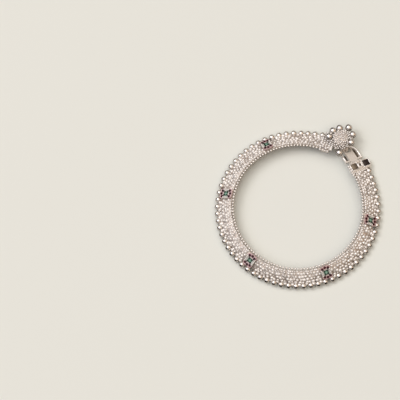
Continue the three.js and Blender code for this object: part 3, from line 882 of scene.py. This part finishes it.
# %% Granules on the caps
COVER_STEP = 1.5
COVER_NUDGE = 0.25
COVER_SIZES = (0.7, 0.98)
COVER_TARNISH = 0.3
COVER_DROP = 0.9
COVER_SHEET_HALF = (2.0, CAP_WIDTH / 2 - 0.1, 0.08)
END_ROWS = ((-2.4, 2.4), (-3.3, 2.6))
END_NUDGE = 0.2
END_DOT_RADIUS = 0.8
origin, axes = caps["end_cap_b"]
cover_places = []
for column, x in enumerate(np.arange(-1.6, 3.1, COVER_STEP)):
    drop = COVER_DROP if x > CAP_LENGTH / 2 else 0.0
    for y in np.arange(CAP_OFFSET - 5.6 + COVER_STEP / 2 * (column % 2), CAP_INNER - 0.3, COVER_STEP):
        aside = rng.uniform(-COVER_NUDGE, COVER_NUDGE)
        across = rng.uniform(-COVER_NUDGE, COVER_NUDGE)
        cover_places.append((x + aside, y + across, CAP_HEIGHT - drop))
cover_sizes = np.array([rng.uniform(*COVER_SIZES) for _ in cover_places])
cover_dots = darker(dots(origin, axes, cover_places, cover_sizes), COVER_TARNISH)
sheet_points, sheet_faces, _ = boxes(origin, axes, [(0, CAP_OFFSET, CAP_HEIGHT + 0.05)], [COVER_SHEET_HALF])
cover_sheet = (sheet_points, sheet_faces, np.ones(len(sheet_points)))
far_places = [(x, CAP_BEAD_Y, CAP_BEAD_LIFT) for x in np.arange(-1.6, 3.4, 1.45)]
far_edge = dots(origin, axes, far_places, CAP_BEAD_RADIUS)
end_places = []
for x, z in END_ROWS:
    for y in np.arange(CAP_OFFSET - 5.3, CAP_INNER - 0.6, 1.2):
        end_places.append((x, y + rng.uniform(-END_NUDGE, END_NUDGE), z))
end_dots = dots(origin, axes, end_places, END_DOT_RADIUS)
cap_parts = [boss_dots, cap_edge, joint_dots, cover_dots, cover_sheet, far_edge, end_dots]
piece("cap_granules", joined(cap_parts), silver_granule)

# %% [markdown]
# The clasp plate turns on its pin. Behind its two slots lie brown sheets of painted shade, which make them
# look dark. The plate's own frame is worked out as in the CAD: it starts at the pin and tips down to the
# hook. A bright wire runs round the plate's rim, where fingers rub it.

# %% Behind the clasp plate
PIN_REACH = CAP_LENGTH / 2 + 1.3
PIN_LIFT = 1.5
HINGE_OFFSET = 0.2
HOOK_LIFT = 0.2
origin, axes = caps["end_cap_b"]
reach = (on_band(CLASP_ANGLE + CAP_ANGLE, HINGE_OFFSET, HOOK_LIFT)[0][0] - ring_x) / axes[0, 0]
tip = math.atan((PIN_LIFT - HOOK_LIFT) / (reach - PIN_REACH))
origin, axes = caps["end_cap_a"]
plate_origin = in_frame(origin, axes, (PIN_REACH, HINGE_OFFSET, PIN_LIFT))
turn = np.array([[math.cos(tip), 0, math.sin(tip)], [0, 1, 0], [-math.sin(tip), 0, math.cos(tip)]])
plate_axes = axes @ turn
LINING_LIFT = -0.72
lining_places = [(5.4, -3.4, LINING_LIFT), (4.6, 3.6, LINING_LIFT)]
lining_sizes = [[3.0, 1.1, SHEET_HALF], [2.1, 0.5, SHEET_HALF]]
PLATE_HALF_WIDTH = 5.7
EYE_MARGIN = 1.6 + 1.15
RIM_REACH = 5.35
RIM_LIFT = 0.55
RIM_WIRE = 0.38
arch_middle = (reach - PIN_REACH) / math.cos(tip) + EYE_MARGIN - PLATE_HALF_WIDTH
arch = np.linspace(-math.pi / 2, math.pi / 2, 15)
rim = [(1.6, -RIM_REACH), (3.6, -RIM_REACH)]
rim += [(arch_middle + RIM_REACH * math.cos(a), RIM_REACH * math.sin(a)) for a in arch]
rim += [(3.6, RIM_REACH), (1.6, RIM_REACH)]
frames.append(tube(in_frame(plate_origin, plate_axes, [(x, y, RIM_LIFT) for x, y in rim]), RIM_WIRE))
piece("clasp_wires", joined(frames), bright_wire)
# Painted shade behind the two slots: brown sheets under the plate.
slot_lining = boxes(plate_origin, plate_axes, lining_places, lining_sizes)
made = piece("slot_lining", slot_lining, brown_recess)
LINING_SHADE = (8, -20, 1)
write_places(made, plate_origin, plate_axes, LINING_SHADE)

# %% [markdown]
# The drop balls are the same pressed shells as the ball edge, a little larger, each on a wire peg. Each
# CAD node is a ball with its peg. Its ball's middle isn't stored anywhere, so it is found from the points:
# a guess is moved until the points near it all lie one radius away. They get the same painted dark
# reflection and painted shade as the ball edge, with a wider dark rim for the shadowed table and rosette
# round them.

# %% Drop balls
DROP_RADIUS = 1.95
SHOWN_DROP_RADIUS = 2.1
DROP_CRESCENT = 0.5
DROP_RIM = 0.4
PEG_RADIUS = 0.45
FITTING_STEPS = 40
# Every drop ball's painted dark crescent faces one way, set from the camera's direction.
dark_turn = math.radians(CAMERA_AZIMUTH + 120)
inward = np.array([-math.cos(dark_turn), -math.sin(dark_turn), 0])
upward = np.array([0, 0, 1.0])
drop_axes = np.stack([np.cross(inward, upward), inward, upward], 1)[None]
drop_tarnish = unbuffed(full_ball, DROP_CRESCENT, DROP_RIM)
peg_shape = ball_shape(sides=10, rings=4, lowest=-0.99)
drop_middles = []
for number in range(1, 8):
    node = nodes[f"drop_ball_{number}"]
    points = np.array([v.co for v in node.data.vertices]) / MM
    middle = points.mean(0)
    for _ in range(FITTING_STEPS):
        offsets = points - middle
        distance = np.linalg.norm(offsets, axis=1)
        near = distance < DROP_RADIUS * 1.25
        middle = middle + (offsets[near] * (1 - DROP_RADIUS / distance[near])[:, None]).mean(0)
    ball_part = copies(full_ball, middle[None], drop_axes, SHOWN_DROP_RADIUS, drop_tarnish)
    far = points[np.argmax(np.linalg.norm(points - middle, axis=1))]
    direction = (far - middle) / np.linalg.norm(far - middle)
    side = np.cross(direction, [0, 0, 1])
    side = side / np.linalg.norm(side)
    peg_axes = np.stack([side, np.cross(direction, side), direction], 1)[None]
    length = np.linalg.norm(far - middle)
    peg = copies(peg_shape, (middle + far)[None] / 2, peg_axes, [[PEG_RADIUS, PEG_RADIUS, length / 2]])
    piece(f"polished_drop_{number}", joined([ball_part, peg]), silver_buffed, [node.name])
    drop_middles.append(middle)

# %% [markdown]
# The rosette is a cluster of granules soldered to a domed disc. They are laid as the seeds of a sunflower
# are, each turned by the golden angle from the last, from the middle to beyond the rim, where the last ones
# fill the space between the balls.

# %% Rosette granules
ROSETTE_ANGLE = CLASP_ANGLE + 5.4 / BAND_RADIUS
ROSETTE_OUT = 5.2
ROSETTE_LIFT = 5.1
ROSETTE_LEAN = math.radians(5)
DOME_PROFILE = ((0, 1.95), (1.7, 1.9), (3.15, 1.55), (4.2, 0.95), (5.3, 0.5), (6.9, 0.2))
ROSETTE_REACH = 6.9
ROSETTE_TARNISH = 0.3
SEED_SPACING = 0.66
SEED_RADIUS = 0.64
SEED_NUDGE = (0.12, 0.15)
SEED_SIZES = (0.75, 1.15)
CLEAR_OF_BALL = 0.92 * SHOWN_DROP_RADIUS
GOLDEN_ANGLE = math.radians(137.508)
head_axes = leaning_axes(ROSETTE_ANGLE, ROSETTE_LEAN)[0]
head = line_points(np.array([ROSETTE_ANGLE]))[0] - leaning_axes(ROSETTE_ANGLE, 0)[0][:, 1] * ROSETTE_OUT
head[2] = band_height(ROSETTE_ANGLE) + ROSETTE_LIFT
profile_out, profile_up = zip(*DOME_PROFILE)
places, sizes = [], []
for k in range(int((ROSETTE_REACH / SEED_SPACING) ** 2)):
    out = SEED_SPACING * math.sqrt(k)
    place = (
        out * math.cos(k * GOLDEN_ANGLE) + rng.uniform(-SEED_NUDGE[0], SEED_NUDGE[0]),
        out * math.sin(k * GOLDEN_ANGLE) + rng.uniform(-SEED_NUDGE[1], SEED_NUDGE[1]),
        np.interp(out, profile_out, profile_up),
    )
    size = SEED_RADIUS * rng.uniform(*SEED_SIZES)
    apart = [np.linalg.norm(in_frame(head, head_axes, place) - middle) for middle in drop_middles]
    if min(apart) > CLEAR_OF_BALL:
        places.append(place)
        sizes.append(size)
seeds = dots(head, head_axes, places, np.array(sizes))
piece("rosette_granules", darker(seeds, ROSETTE_TARNISH), silver_granule)

# %% [markdown]
# The table is a plain pale sheet of matt paper. It is large, because polished silver shows it in every
# ball, and its own colour is a little darker than it looks, because the light on it is strong.

# %% Table
TABLE_HALF = 420
FIBRE_MM = 0.8
FIBRE_DEPTH = 0.01
bpy.ops.mesh.primitive_plane_add(size=2 * TABLE_HALF * MM, location=(ring_x * MM, ring_y * MM, 0))
table = bpy.context.object
table.name = "table"
table_paper, tree, output = new_material("matt_paper")
place = add_node(tree, "ShaderNodeTexCoord").outputs["Object"]
fibre = add_node(tree, "ShaderNodeTexNoise", {"Vector": place, "Scale": 1 / (FIBRE_MM * MM), "Detail": 5.0})
paper_bump = add_node(
    tree, "ShaderNodeBump", {"Height": fibre.outputs["Fac"], "Distance": FIBRE_DEPTH * MM, "Strength": 0.3}
)
shader = add_node(
    tree,
    "ShaderNodeBsdfPrincipled",
    {"Base Color": colour("#dcddd6"), "Roughness": 0.85, "Normal": paper_bump.outputs["Normal"]},
)
shader.inputs["Specular IOR Level"].default_value = 0.2
tree.links.new(shader.outputs["BSDF"], output.inputs["Surface"])
table.data.materials.append(table_paper)
print("table:", 2 * TABLE_HALF, "mm wide")

# %% [markdown]
# The light. Silver shows its surroundings, so the room matters more than the lamps. It has one bright, soft
# ceiling and dark walls, warmer on the picture's right. The ceiling lights the granules from above, and
# the walls draw the dark edges of the balls. A large lamp at the upper left of the picture gives the soft
# shadows, and two faint ones tint the band, warm on its right and cool on its left. All three are far
# away, so the light is even.

# %% Light
BRIGHT_TURN = 140
BRIGHT_ELEVATION = 85
WORLD_STRENGTH = 1.37
CEILING_EDGE = (0.54, 0.74)


def picture_direction(turn_degrees, elevation_degrees):
    """A direction towards a lamp: its turn from the picture's right, anticlockwise, and its height."""
    turn = math.radians(turn_degrees + CAMERA_AZIMUTH)
    rise = math.radians(elevation_degrees)
    return Vector((math.cos(turn) * math.cos(rise), math.sin(turn) * math.cos(rise), math.sin(rise)))


world = bpy.data.worlds.new("soft_room")
world.use_nodes = True
bpy.context.scene.world = world
tree = world.node_tree
tree.nodes.clear()
direction = add_node(tree, "ShaderNodeTexCoord").outputs["Generated"]
picture_right = (math.cos(math.radians(CAMERA_AZIMUTH)), math.sin(math.radians(CAMERA_AZIMUTH)), 0)
rightness = add_node(
    tree, "ShaderNodeVectorMath", {0: direction, 1: picture_right}, operation="DOT_PRODUCT"
).outputs["Value"]
side = add_node(tree, "ShaderNodeMapRange", {"Value": rightness, "From Min": -1.0, "From Max": 1.0})
walls = colour_ramp(
    tree, side.outputs["Result"], [(0.0, "#54545c"), (0.3, "#312d2a"), (0.65, "#352d27"), (1.0, "#7c6a58")]
)
ceiling = colour_ramp(
    tree, side.outputs["Result"], [(0.0, "#f2f3ff"), (0.5, "#fffcf8"), (1.0, "#fff0de")]
)
bright_axis = picture_direction(BRIGHT_TURN, BRIGHT_ELEVATION)
closeness = add_node(
    tree, "ShaderNodeVectorMath", {0: direction, 1: tuple(bright_axis)}, operation="DOT_PRODUCT"
).outputs["Value"]
upper = add_node(
    tree,
    "ShaderNodeMapRange",
    {"Value": closeness, "From Min": CEILING_EDGE[0], "From Max": CEILING_EDGE[1]},
    interpolation_type="SMOOTHSTEP",
)
room = add_node(
    tree,
    "ShaderNodeMix",
    {"Factor": upper.outputs["Result"], 6: walls, 7: ceiling},
    data_type="RGBA",
)
background = add_node(tree, "ShaderNodeBackground", {"Color": room.outputs[2], "Strength": WORLD_STRENGTH})
add_node(tree, "ShaderNodeOutputWorld", {"Surface": background.outputs["Background"]})

LAMP_DISTANCE = 4000
LAMP_SIZE = 1700


def soft_lamp(name, turn, elevation, power, tint):
    """A square lamp that faces the anklet."""
    data = bpy.data.lights.new(name, "AREA")
    data.shape = "SQUARE"
    data.size = LAMP_SIZE * MM
    data.energy = power
    data.color = colour(tint)[:3]
    lamp = bpy.data.objects.new(name, data)
    towards = picture_direction(turn, elevation)
    lamp.location = Vector((ring_x, ring_y, 0)) * MM + towards * LAMP_DISTANCE * MM
    lamp.rotation_mode = "QUATERNION"
    lamp.rotation_quaternion = towards.to_track_quat("Z", "Y")
    bpy.context.scene.collection.objects.link(lamp)


soft_lamp("key_lamp", turn=156, elevation=53, power=48, tint="#fffaf6")
soft_lamp("warm_fill", turn=-10, elevation=35, power=8, tint="#ffcfa6")
soft_lamp("cool_fill", turn=185, elevation=35, power=7, tint="#ccd2ff")

# %% [markdown]
# The camera looks down steeply from the photograph's side with a long lens, and the ring keeps the place
# and size in the frame that it has in the photograph.

# %% Camera
PIXEL_MM = 0.58
FRAME_PIXELS = 400
RING_PIXEL = (298, 208.5)
CAMERA_DISTANCE = 4000
RING_MIDDLE_HEIGHT = 4.0
azimuth = math.radians(CAMERA_AZIMUTH)
elevation = math.radians(CAMERA_ELEVATION)
back = Vector(
    (math.sin(azimuth) * math.cos(elevation), -math.cos(azimuth) * math.cos(elevation), math.sin(elevation))
)
right = Vector((math.cos(azimuth), math.sin(azimuth), 0))
up = back.cross(right)
offset_right = (FRAME_PIXELS / 2 - RING_PIXEL[0]) * PIXEL_MM
offset_up = (RING_PIXEL[1] - FRAME_PIXELS / 2) * PIXEL_MM
target = Vector((ring_x, ring_y, RING_MIDDLE_HEIGHT)) + right * offset_right + up * offset_up
camera_data = bpy.data.cameras.new("camera")
camera_data.sensor_width = 36
camera_data.lens = camera_data.sensor_width * CAMERA_DISTANCE / (FRAME_PIXELS * PIXEL_MM)
camera = bpy.data.objects.new("camera", camera_data)
camera.location = (target + back * CAMERA_DISTANCE) * MM
camera.rotation_mode = "QUATERNION"
camera.rotation_quaternion = back.to_track_quat("Z", "Y")
bpy.context.scene.collection.objects.link(camera)
bpy.context.scene.camera = camera
bpy.context.scene.view_settings.view_transform = "Standard"
print("lens", round(camera_data.lens, 1))
